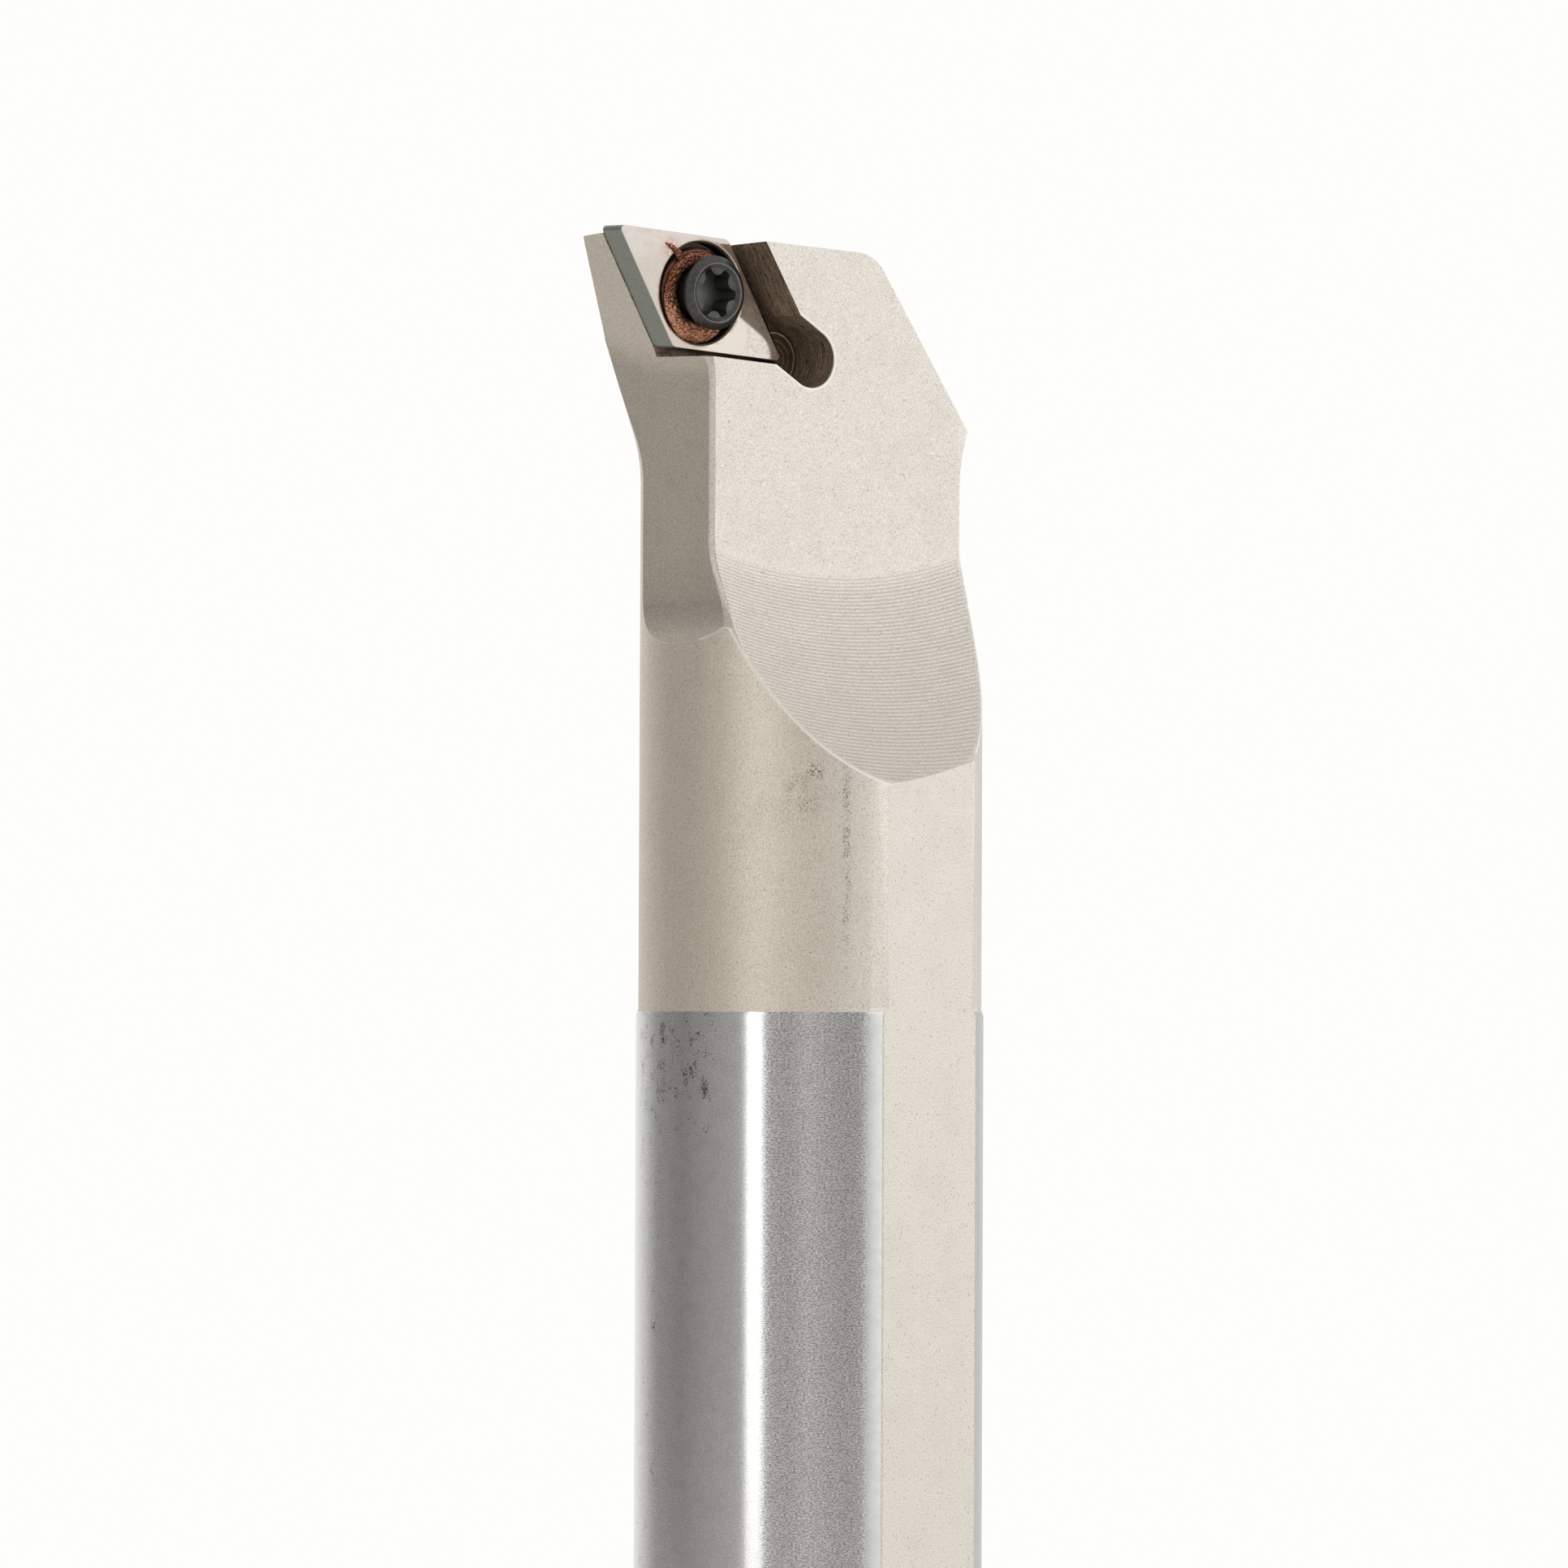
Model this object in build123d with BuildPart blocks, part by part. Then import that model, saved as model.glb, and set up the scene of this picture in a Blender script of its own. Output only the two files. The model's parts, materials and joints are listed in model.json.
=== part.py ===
from build123d import *
import os
from math import cos, radians, sin, tan

# A right-hand boring bar for 55 degree inserts, standing on its shank end.
# Origin: centre of the shank's end face. +Z runs up the bar to the cutting head.
# The clamping flat faces -Y and the cutting corner points to -X.
# All sizes are in millimetres and degrees.

# Bar
bar_length = 200.0  # shank end to the gauge line, level with an insert's cutting corner
shank_diameter = 25.0
neck_diameter = 24.68  # the neck and head are blasted, a little under the ground shank
neck_length = 56.0  # gauge line back to the shoulder
shoulder_chamfer = 0.4
rear_chamfer = 1.0
flat_height = 11.5  # bar axis to the clamping flat

# Head, measured back from the gauge line and across from the bar axis
rake = 8.9  # the head's face is turned this much from the flat, towards the cutting side
face_height = 2.1  # bar axis to the head's face
flare_setback = 16.3  # where the neck starts to widen
flare_angle = 17.2
flare_blend = 12.0
end_setback = 1.33  # gauge line to the end face, on the bar axis
end_slope = 2.0
bevel_reach = 4.1  # bar axis to the corner of the end face and the back bevel
bevel_angle = 35.3
bevel_radius = 3.0

# Clearance facet on the flare, behind the cutting corner and below it
clearance_turn = 44.4  # from straight behind the head, towards the cutting side
clearance_reach = 15.74  # bar axis to the facet
clearance_setback = 1.0  # where that reach is measured
clearance_slope = 6.8
clearance_length = 15.0

# Side wall under the cutting edge
wall_reach = 10.9  # bar axis to the wall
wall_setback = 31.5  # lower end of the wall
wall_runout = 5.0
wall_blend = 5.0
wall_edge_break = 0.33

# Chip scoop, cut by a large round cutter
scoop_setback = 25.2
scoop_cutter_radius = 39.0
scoop_arc_radius = 48.0
scoop_start_angle = 23.0
scoop_end_angle = 50.0
scoop_blend = 5.0

# Insert that the seat is made for
insert_circle = 9.525
insert_thickness = 3.97
insert_corner_angle = 55.0
insert_flank = 7.0
lead_slope = 3.0  # the insert's leading edge, from square to the bar

# Seat: the centre of the shim's top face, in the head's own plane
seat_reach = 9.15
seat_setback = 4.8
seat_height = -1.41
seat_tilt = 2.5
pocket_corner_radius = 1.2
relief_width = 4.2
relief_reach = 8.55  # seat centre to the centre of the relief slot's round end
relief_depth = 4.2  # below the head's face

# Shim
shim_circle = 8.2
shim_thickness = 2.2
shim_nose_radius = 0.3
shim_side_radius = 0.6
shim_counterbore_diameter = 7.3
shim_counterbore_depth = 1.3
shim_counterbore_chamfer = 0.15
shim_hole_clearance = 0.2
shim_setback = 0.05  # the shim's edge stands this much inside the wall below it

# Shim screw: a flanged threaded bush
bush_thread_diameter = 5.0
bush_clearance = 0.05
bush_flange_diameter = 6.6
bush_flange_chamfer = 0.2
bush_recess = 0.25  # flange top below the shim's top face
bush_length = 5.5  # below the flange
bush_hex = 4.0
bush_hex_depth = 1.6
thread_hole_spare = 0.7  # tapped hole beyond the end of the bush, short of the flare behind it

# Insert screw, drawn backed out by hand: heights are above the shim's top face
screw_thread_diameter = 3.5
screw_clearance = 0.04
screw_head_diameter = 5.3
screw_top_diameter = 4.39
screw_top_height = 1.95
screw_dish_diameter = 4.2
screw_dish_depth = 0.25
screw_bevel_height = 0.33
screw_rim_height = 0.2
screw_cone_angle = 30.0  # from the screw's axis
screw_length = 8.0
screw_point_chamfer = 0.4
socket_lobe_count = 6
socket_lobe_diameter = 3.6
socket_root_diameter = 2.6
socket_gap_radius = 0.62
socket_tip_radius = 0.15
socket_depth = 1.7

# Worked out from the sizes above
far = 60.0
shank_radius = shank_diameter / 2
neck_radius = neck_diameter / 2
shoulder_height = bar_length - neck_length
flare_height = bar_length - flare_setback
blank_top_radius = neck_radius + flare_setback * tan(radians(flare_angle))

# The head's plane: local x runs across the bar away from the cutting side, y up the bar, z out of the face.
head = Plane(
    origin=(0, 0, bar_length),
    x_dir=(cos(radians(rake)), -sin(radians(rake)), 0),
    z_dir=(-sin(radians(rake)), -cos(radians(rake)), 0),
)
# A lengthwise section through the head: local x runs out of the face and y up the bar.
section = Plane(origin=head.origin, x_dir=head.z_dir, z_dir=-head.x_dir)
# The facet that keeps the flare off the bore: z points out of it.
clearance_plane = Plane(
    head.location
    * Location((0, -clearance_setback, 0), (0, clearance_turn - 180, 0))
    * Location((0, 0, clearance_reach), (clearance_slope, 0, 0))
)
# The seat: origin at the centre of the shim's top face, local x along the leading edge, z out of the seat.
seat = Plane(
    head.location
    * Location((-seat_reach, -seat_setback, seat_height), (seat_tilt, 0, 0))
    * Location((0, 0, 0), (0, 0, -lead_slope))
)
seat_axis = Axis(seat.origin, seat.z_dir)
# A section through the seat's axis: local x runs outwards and y along the axis.
seat_section = Plane(origin=seat.origin, x_dir=seat.x_dir, z_dir=-seat.y_dir)

# Heights along the seat's axis, from the shim's top face
face_above_seat = face_height - seat_height
seat_floor = -shim_thickness
relief_floor = face_above_seat - relief_depth
flange_top = -bush_recess
flange_bottom = -shim_counterbore_depth
thread_hole_end = flange_bottom - bush_length - thread_hole_spare
# The insert's flanks meet the pocket's walls along the walls' top edges.
insert_above_face = insert_thickness - face_above_seat
pocket_circle = insert_circle - 2 * insert_above_face * tan(radians(insert_flank))


def rhombus_corners(inscribed_circle):
    """Corners of an insert's outline about its centre: cutting corner, back, inner corner, lower side."""
    corner = radians(insert_corner_angle)
    side = inscribed_circle / sin(corner)
    along = Vector(side, 0)
    down = Vector(side * cos(corner), -side * sin(corner))
    tip = (along + down) * -0.5
    return [tip, tip + along, tip + along + down, tip + down]


def scoop_point(angle):
    """A point of the scoop cutter's profile, where the profile stands at this angle to the face."""
    rise = cos(radians(scoop_start_angle)) - cos(radians(angle))
    drop = sin(radians(angle)) - sin(radians(scoop_start_angle))
    return (face_height + scoop_arc_radius * rise, -scoop_setback - scoop_arc_radius * drop)


# The wall beside the seat follows the insert's trailing edge. It stands square to the seat above the
# seat's floor, and leans in by the flank angle below it.
trailing_edge = (
    seat.location
    * Location((0, 0, seat_floor), (0, 0, -insert_corner_angle))
    * Location((0, -shim_circle / 2 - shim_setback, 0))
)
# Across the trailing edge: local x runs into the bar and y up the seat's axis
trailing_section = Plane(trailing_edge * Location((0, 0, 0), (90, 90, 0)))
wall_foot = head.from_local_coords((-wall_reach, -wall_setback, 0))
wall_edge = head.from_local_coords((-wall_reach, (-scoop_setback - flare_setback) / 2, face_height))
edge_position = head.to_local_coords(trailing_section.origin)
edge_direction = head.to_local_coords(trailing_section.origin + trailing_section.z_dir) - edge_position
to_wall = (-wall_reach - edge_position.X) / edge_direction.X
wall_bend = head.from_local_coords(edge_position + edge_direction * to_wall)

with BuildPart() as wall_cutter:
    with BuildSketch(head.offset(-far / 2)):
        with Locations((-wall_reach, -wall_setback)):
            Rectangle(far, far, align=(Align.MAX, Align.MIN))
    extrude(amount=far)
    fillet(wall_cutter.edges().sort_by_distance(wall_foot)[0], wall_runout)
    # What both walls stand around is left on the bar
    with BuildSketch(trailing_section):
        with BuildLine():
            Polyline(
                (0, 0),
                (0, far),
                (far, far),
                (far, -far),
                (far * tan(radians(insert_flank)), -far),
                close=True,
            )
        make_face()
    extrude(amount=2 * far, both=True, mode=Mode.SUBTRACT)
    bends = wall_cutter.edges().sort_by_distance(wall_bend)[:3]
    fillet(bends.filter_by(Axis(wall_bend, trailing_section.z_dir), reverse=True), wall_blend)

with BuildPart() as bar_body:
    # Turned blank, with the flare that carries the cutting edge out beyond the shank
    with BuildSketch(Plane.XZ):
        with BuildLine():
            Polyline(
                (0, 0),
                (shank_radius - rear_chamfer, 0),
                (shank_radius, rear_chamfer),
                (shank_radius, shoulder_height - shoulder_chamfer),
                (neck_radius, shoulder_height),
                (neck_radius, flare_height),
                (blank_top_radius, bar_length),
                (0, bar_length),
                close=True,
            )
        make_face()
        fillet(vertices().sort_by_distance((neck_radius, flare_height))[0], flare_blend)
    revolve(axis=Axis.Z)

    # Clamping flat along the whole bar
    with BuildSketch(Plane.XY):
        with Locations((0, -flat_height)):
            Rectangle(far, far, align=(Align.CENTER, Align.MAX))
    extrude(amount=bar_length, mode=Mode.SUBTRACT)

    # Head's face and chip scoop, in one cut by a cutter that turns about an axis square to the face
    with BuildSketch(section):
        with BuildLine():
            profile_start = scoop_point(scoop_start_angle)
            profile_end = scoop_point(scoop_end_angle)
            cutter_axis = profile_start[1] + scoop_cutter_radius
            ThreePointArc(
                profile_start,
                scoop_point((scoop_start_angle + scoop_end_angle) / 2),
                profile_end,
            )
            Polyline(
                profile_end,
                (profile_end[0], cutter_axis),
                (profile_start[0], cutter_axis),
                profile_start,
            )
        make_face()
        fillet(vertices().sort_by_distance(profile_start)[0], scoop_blend)
    revolve(
        axis=Axis(section.from_local_coords((0, cutter_axis)), section.x_dir),
        mode=Mode.SUBTRACT,
    )

    # End face and the bevel that clears the bore behind the cutting side
    with BuildSketch(head.offset(-far / 2)):
        with BuildLine():
            end_fall = tan(radians(end_slope))
            bevel_start = (bevel_reach, -end_setback - bevel_reach * end_fall)
            bevel_end = (far, bevel_start[1] - (far - bevel_reach) / tan(radians(bevel_angle)))
            Polyline(
                (-far, -end_setback + far * end_fall),
                bevel_start,
                bevel_end,
                (far, far),
                (-far, far),
                close=True,
            )
        make_face()
        fillet(vertices().sort_by_distance(bevel_start)[0], bevel_radius)
    extrude(amount=far, mode=Mode.SUBTRACT)

    # Clearance facet
    with BuildSketch(clearance_plane):
        Rectangle(far, 2 * clearance_length)
    extrude(amount=far, mode=Mode.SUBTRACT)

    # Side wall
    add(wall_cutter.part, mode=Mode.SUBTRACT)

    # Pocket for shim and insert: two walls and a floor
    with BuildSketch(seat.offset(seat_floor)):
        with BuildLine():
            inner_corner = rhombus_corners(pocket_circle)[2]
            along_lead = Vector(far, 0)
            along_trail = Vector(far, 0).rotate(Axis.Z, -insert_corner_angle)
            Polyline(
                inner_corner,
                inner_corner - along_lead,
                inner_corner - along_lead - along_trail,
                inner_corner - along_trail,
                close=True,
            )
        make_face()
        fillet(vertices().sort_by_distance(inner_corner)[0], pocket_corner_radius)
    extrude(amount=far, mode=Mode.SUBTRACT)

    # Broken edge where the side wall meets the face
    chamfer(bar_body.edges().sort_by_distance(wall_edge)[0], wall_edge_break)

    # Relief slot behind the insert's inner corner
    with BuildSketch(seat.offset(relief_floor)):
        with Locations(Location((0, 0), -insert_corner_angle / 2)):
            with Locations((relief_reach / 2, 0)):
                SlotCenterToCenter(relief_reach, relief_width)
    extrude(amount=far, mode=Mode.SUBTRACT)

    # Tapped hole for the shim screw
    with BuildSketch(seat.offset(thread_hole_end)):
        Circle(bush_thread_diameter / 2 + bush_clearance)
    extrude(amount=far, mode=Mode.SUBTRACT)
bar_body.part.label = "bar_body"

with BuildPart() as shim:
    with BuildSketch(seat.offset(seat_floor)):
        with BuildLine():
            Polyline(*rhombus_corners(shim_circle), close=True)
        make_face()
        acute = vertices().sort_by(Axis.X)
        fillet([acute[0], acute[-1]], shim_nose_radius)
        obtuse = vertices().sort_by_distance((0, 0))[:2]
        fillet(obtuse, shim_side_radius)
    extrude(amount=shim_thickness)
    with Locations(seat.location):
        CounterBoreHole(
            bush_thread_diameter / 2 + shim_hole_clearance,
            shim_counterbore_diameter / 2,
            shim_counterbore_depth,
        )
    mouth = shim.edges().filter_by(GeomType.CIRCLE).sort_by(seat_axis).group_by(seat_axis)[-1]
    chamfer(mouth.sort_by(SortBy.LENGTH)[-1], shim_counterbore_chamfer)
shim.part.label = "shim"

with BuildPart() as shim_screw:
    with BuildSketch(seat.offset(flange_bottom)):
        Circle(bush_flange_diameter / 2)
    extrude(amount=flange_top - flange_bottom)
    flange_rims = shim_screw.edges().filter_by(GeomType.CIRCLE).sort_by(seat_axis)
    chamfer(flange_rims[-1], bush_flange_chamfer)
    with BuildSketch(seat.offset(flange_bottom)):
        Circle(bush_thread_diameter / 2)
    extrude(amount=-bush_length)
    with BuildSketch(seat.offset(flange_top)):
        RegularPolygon(bush_hex / 2, 6, major_radius=False)
    extrude(amount=-bush_hex_depth, mode=Mode.SUBTRACT)
    with Locations(seat.offset(flange_top).location):
        Hole(screw_thread_diameter / 2 + screw_clearance)
shim_screw.part.label = "shim_screw"

with BuildPart() as insert_screw:
    head_radius = screw_head_diameter / 2
    thread_radius = screw_thread_diameter / 2
    dish_floor = screw_top_height - screw_dish_depth
    rim_top = screw_top_height - screw_bevel_height
    rim_bottom = rim_top - screw_rim_height
    cone_height = (head_radius - thread_radius) / tan(radians(screw_cone_angle))
    screw_end = screw_top_height - screw_length
    with BuildSketch(seat_section):
        with BuildLine():
            Polyline(
                (0, dish_floor),
                (socket_lobe_diameter / 2, dish_floor),
                (screw_dish_diameter / 2, screw_top_height),
                (screw_top_diameter / 2, screw_top_height),
                (head_radius, rim_top),
                (head_radius, rim_bottom),
                (thread_radius, rim_bottom - cone_height),
                (thread_radius, screw_end + screw_point_chamfer),
                (thread_radius - screw_point_chamfer, screw_end),
                (0, screw_end),
                close=True,
            )
        make_face()
    revolve(axis=seat_axis)

    # Six-lobed socket
    with BuildSketch(seat.offset(dish_floor)):
        Circle(socket_lobe_diameter / 2)
        half_pitch = 180 / socket_lobe_count
        with PolarLocations(
            socket_root_diameter / 2 + socket_gap_radius, socket_lobe_count, half_pitch
        ):
            Circle(socket_gap_radius, mode=Mode.SUBTRACT)
        fillet(vertices(), socket_tip_radius)
    extrude(amount=-socket_depth, mode=Mode.SUBTRACT)
insert_screw.part.label = "insert_screw"

os.makedirs("parts", exist_ok=True)
export_step(bar_body.part, "parts/bar_body.step")
export_step(shim.part, "parts/shim.step")
export_step(shim_screw.part, "parts/shim_screw.step")
export_step(insert_screw.part, "parts/insert_screw.step")
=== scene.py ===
import json
from math import cos, hypot, pi, radians, sin, tan

import bmesh
import bpy
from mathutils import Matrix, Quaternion, Vector, noise


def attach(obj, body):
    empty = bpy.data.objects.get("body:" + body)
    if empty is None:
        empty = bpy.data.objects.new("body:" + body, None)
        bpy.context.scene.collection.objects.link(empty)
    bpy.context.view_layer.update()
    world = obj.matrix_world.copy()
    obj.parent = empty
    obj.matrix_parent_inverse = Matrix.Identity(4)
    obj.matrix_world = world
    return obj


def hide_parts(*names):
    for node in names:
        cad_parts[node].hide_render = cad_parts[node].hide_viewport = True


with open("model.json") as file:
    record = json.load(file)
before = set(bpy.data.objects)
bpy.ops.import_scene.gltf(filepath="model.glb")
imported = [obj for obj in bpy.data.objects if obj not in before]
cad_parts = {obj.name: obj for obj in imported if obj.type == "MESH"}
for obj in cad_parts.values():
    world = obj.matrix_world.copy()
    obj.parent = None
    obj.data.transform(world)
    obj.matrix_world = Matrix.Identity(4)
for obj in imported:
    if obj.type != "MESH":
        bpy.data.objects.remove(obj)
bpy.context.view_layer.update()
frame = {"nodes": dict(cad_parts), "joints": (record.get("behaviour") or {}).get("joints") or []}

MM = 0.001
MICRON = 1e-6

# ---------------------------------------------------------------- the bar's own sizes, in millimetres
SHANK_RADIUS = 12.5
NECK_RADIUS = 12.34
FLAT_HEIGHT = 11.5
SHOULDER = 144.0
GROUND_FROM = 0.9  # the ground finish runs from the rear chamfer
GROUND_TO = SHOULDER - 0.14
GAUGE_LINE = 200.0
FACE_HEIGHT = 2.1
WALL_REACH = 10.9
SCOOP_CENTRE = 13.8  # the scoop cutter's axis, above the gauge line
SCOOP_RADIUS = 39.0
SCOOP_RIM_TOP = -25.5  # the scoop's rim on the neck lies below this, from the gauge line
MILLED_PITCH = 0.27
SEAT_FLOOR = -2.2
POCKET_INRADIUS = 4.7
RELIEF_REACH = 8.55
RELIEF_RADIUS = 2.1
INSERT_ANGLE = 55.0
SLOT_TURN = radians(-INSERT_ANGLE / 2)
COUNTERBORE_RADIUS = 3.65
SCREW_DISH_RADIUS = 2.1
SOCKET_RADIUS = 1.8
SOCKET_TOP = 1.6

# ---------------------------------------------------------------- places taken from the frame
turn = frame["joints"][0]
SEAT_ORIGIN = Vector(turn["pos_m"]) / MM
SEAT_Z = Vector(turn["axis"]).normalized()
RAKE = radians(8.9)
HEAD_X = Vector((cos(RAKE), -sin(RAKE), 0))
HEAD_Z = Vector((-sin(RAKE), -cos(RAKE), 0))
HEAD_ORIGIN = Vector((0, 0, GAUGE_LINE))
LEAD_SLOPE = radians(3.0)
level = (HEAD_X - SEAT_Z * HEAD_X.dot(SEAT_Z)).normalized()
SEAT_X = Quaternion(SEAT_Z, -LEAD_SLOPE) @ level
SEAT_Y = SEAT_Z.cross(SEAT_X)


def seat_point(x, y, z):
    """A point in metres, from millimetres along the seat's own axes."""
    return (SEAT_ORIGIN + SEAT_X * x + SEAT_Y * y + SEAT_Z * z) * MM


EDGE_MARK = "broken_edge"


# ---------------------------------------------------------------- node trees, a value at a time
class Tree:
    """A material's nodes. Each call adds a node and gives back the socket that holds its result."""

    def __init__(self, name, world=False):
        if world:
            self.owner = bpy.data.worlds.new(name)
        else:
            self.owner = bpy.data.materials.new(name)
        self.owner.use_nodes = True
        self.tree = self.owner.node_tree
        self.tree.nodes.clear()
        kind = "ShaderNodeOutputWorld" if world else "ShaderNodeOutputMaterial"
        self.output = self.tree.nodes.new(kind)

    def node(self, kind, **settings):
        made = self.tree.nodes.new("ShaderNode" + kind)
        for key, value in settings.items():
            setattr(made, key, value)
        return made

    def feed(self, socket, value):
        if isinstance(value, bpy.types.NodeSocket):
            self.tree.links.new(value, socket)
        elif socket.type == "RGBA" and len(value) == 3:
            socket.default_value = (*value, 1)
        else:
            socket.default_value = value

    def math(self, operation, a, b=0.0):
        made = self.node("Math", operation=operation)
        self.feed(made.inputs[0], a)
        self.feed(made.inputs[1], b)
        return made.outputs[0]

    def chain(self, operation, values):
        got = values[0]
        for value in values[1:]:
            got = self.math(operation, got, value)
        return got

    def times(self, *values):
        return self.chain("MULTIPLY", values)

    def plus(self, *values):
        return self.chain("ADD", values)

    def most(self, *values):
        return self.chain("MAXIMUM", values)

    def minus(self, a, b):
        return self.math("SUBTRACT", a, b)

    def vector(self, operation, a, b=(0, 0, 0)):
        made = self.node("VectorMath", operation=operation)
        self.feed(made.inputs[0], a)
        self.feed(made.inputs[1], b)
        return made.outputs["Value" if operation in ("DOT_PRODUCT", "LENGTH") else "Vector"]

    def along(self, at, direction):
        return self.vector("DOT_PRODUCT", at, direction)

    def join(self, x, y, z=0.0):
        made = self.node("CombineXYZ")
        for socket, value in zip(made.inputs, (x, y, z)):
            self.feed(socket, value)
        return made.outputs[0]

    def parts(self, at):
        made = self.node("SeparateXYZ")
        self.feed(made.inputs[0], at)
        return made.outputs

    def length(self, x, y):
        return self.vector("LENGTH", self.join(x, y))

    def azimuth(self, x, y):
        """Degrees round the bar's axis: 0 is in front of the flat and -90 is on the cutting side."""
        return self.math("DEGREES", self.math("ARCTAN2", x, self.times(y, -1.0)))

    def above(self, value, edge, width=0.02):
        """0 below the edge and 1 above it, over that width."""
        made = self.node("MapRange", interpolation_type="SMOOTHSTEP")
        self.feed(made.inputs["Value"], value)
        self.feed(made.inputs["From Min"], edge - width / 2)
        self.feed(made.inputs["From Max"], edge + width / 2)
        return made.outputs["Result"]

    def below(self, value, edge, width=0.02):
        return self.minus(1.0, self.above(value, edge, width))

    def within(self, value, low, high, width=0.02):
        return self.times(self.above(value, low, width), self.below(value, high, width))

    def mix(self, kind, factor, a, b):
        made = self.node("Mix", data_type=kind)
        self.feed(made.inputs["Factor"], factor)
        self.feed(made.inputs["A"], a)
        self.feed(made.inputs["B"], b)
        return made.outputs["Result"]

    def blend(self, factor, a, b):
        """From colour a to colour b."""
        return self.mix("RGBA", factor, a, b)

    def tint(self, colour, towards, strength, *masks):
        """The colour, drawn towards another by that strength where every mask is 1."""
        return self.blend(self.times(*masks, strength), colour, towards)

    def pick(self, factor, a, b):
        """From number a to number b."""
        return self.mix("FLOAT", factor, a, b)

    def noise(self, at, size, detail=2.0, roughness=0.5, stretch=None):
        """Noise from 0 to 1 whose lumps are about that many millimetres across."""
        if stretch:
            at = self.vector("MULTIPLY", at, stretch)
        made = self.node("TexNoise")
        self.feed(made.inputs["Vector"], at)
        made.inputs["Scale"].default_value = 1 / size
        made.inputs["Detail"].default_value = detail
        made.inputs["Roughness"].default_value = roughness
        return made.outputs["Fac"]

    def broken_edge(self):
        """1 on a broken edge and 0 elsewhere."""
        return self.node("Attribute", attribute_name=EDGE_MARK).outputs["Fac"]

    def position(self):
        """The surface point, in millimetres in the row frame."""
        made = self.node("VectorMath", operation="SCALE")
        self.feed(made.inputs[0], self.node("TexCoord").outputs["Object"])
        made.inputs["Scale"].default_value = 1 / MM
        return made.outputs["Vector"]

    def locally(self, at, origin, *axes):
        """The point's coordinates along axes through an origin."""
        offset = self.vector("SUBTRACT", at, origin)
        return [self.along(offset, axis) for axis in axes]

    def bump(self, height, microns):
        made = self.node("Bump")
        self.feed(made.inputs["Height"], height)
        made.inputs["Distance"].default_value = microns * MICRON
        return made.outputs["Normal"]

    def shader(self, **sockets):
        made = self.node("BsdfPrincipled")
        for key, value in sockets.items():
            self.feed(made.inputs[key.replace("_", " ")], value)
        self.tree.links.new(made.outputs[0], self.output.inputs[0])
        return self.owner


# ---------------------------------------------------------------- colours
def scaled(colour, by):
    return [c * by for c in colour]


NICKEL = (0.845, 0.79, 0.715)
NICKEL_WARM_LIGHT = (0.875, 0.78, 0.655)
NICKEL_DARK_AND_SHADE = (0.50, 0.45, 0.39)
NICKEL_LIT = (0.955, 0.885, 0.79)
NICKEL_GLINT = (1.0, 0.97, 0.92)
NICKEL_EDGE_WEAR_AND_HIGHLIGHT = (0.97, 0.95, 0.915)
GROUND = (0.72, 0.72, 0.712)
GROUND_DARK = (0.37, 0.37, 0.366)
GROUND_BRIGHT = (0.93, 0.93, 0.925)
STAIN = (0.09, 0.08, 0.065)
POCKET = (0.40, 0.295, 0.212)
POCKET_DARK = (0.085, 0.06, 0.042)
POCKET_SPECKLE = scaled(POCKET, 1.9)
POCKET_LINE = (0.70, 0.62, 0.50)
SLOT_FLOOR_SHADE = (0.088, 0.056, 0.028)
CARBIDE_SIDE = (0.285, 0.295, 0.268)
CARBIDE_SIDE_GRAIN = scaled(CARBIDE_SIDE, 1.5)
CARBIDE_TOP = (0.68, 0.60, 0.535)
CARBIDE_TOP_DARK = scaled(CARBIDE_TOP, 0.72)
CARBIDE_SCRATCH = scaled(CARBIDE_TOP, 1.2)
CARBIDE_PAINTED_HIGHLIGHT = (0.86, 0.79, 0.70)
CARBIDE_CLOUD = (0.86, 0.85, 0.83)
CARBIDE_SOIL = (0.24, 0.18, 0.13)
HOLE_SHADE_DEEP = (0.05, 0.045, 0.04)
HOLE_SHADE_PALE = (0.2, 0.17, 0.15)
COPPER_DARK_AND_SHADE = (0.10, 0.032, 0.018)
COPPER = (0.36, 0.105, 0.05)
COPPER_BRIGHT = (1.0, 0.52, 0.33)
COPPER_FILM = (0.5, 0.24, 0.15)
COPPER_HOLLOW = (0.03, 0.02, 0.015)
BUSH = (0.13, 0.10, 0.085)
BLACK = (0.092, 0.092, 0.09)
BLACK_GRAIN = (0.03, 0.03, 0.03)
BLACK_WORN = (0.19, 0.19, 0.186)
BLACK_EDGE = (0.34, 0.34, 0.335)


# ---------------------------------------------------------------- where the finishes change
DEGREE_ARC = radians(1.0) * SHANK_RADIUS  # one degree round the shank


class Place:
    """Where a surface point lies: round the bar's axis, on its head and in its seat, in millimetres."""

    def __init__(self, t):
        self.at = t.position()
        self.x, self.y, self.z = t.parts(self.at)
        self.radius = t.length(self.x, self.y)
        self.azimuth = t.azimuth(self.x, self.y)
        self.off_flat = t.above(self.y, -FLAT_HEIGHT + 0.06)
        # The surface unrolled, with a little of the radius for the faces that aren't round
        self.around = t.join(t.times(self.azimuth, DEGREE_ARC), self.z, t.times(self.radius, 0.3))
        # On the head: u across, away from the cutting side, v up from the gauge line, h out of the face
        self.u, self.v, self.h = t.locally(self.at, HEAD_ORIGIN, HEAD_X, Vector((0, 0, 1)), HEAD_Z)
        # In the seat, from the middle of the shim's top face
        self.sx, self.sy, self.sz = t.locally(self.at, SEAT_ORIGIN, SEAT_X, SEAT_Y, SEAT_Z)
        self.on_seat = t.join(self.sx, self.sy)
        self.from_screw = t.vector("LENGTH", self.on_seat)


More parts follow.
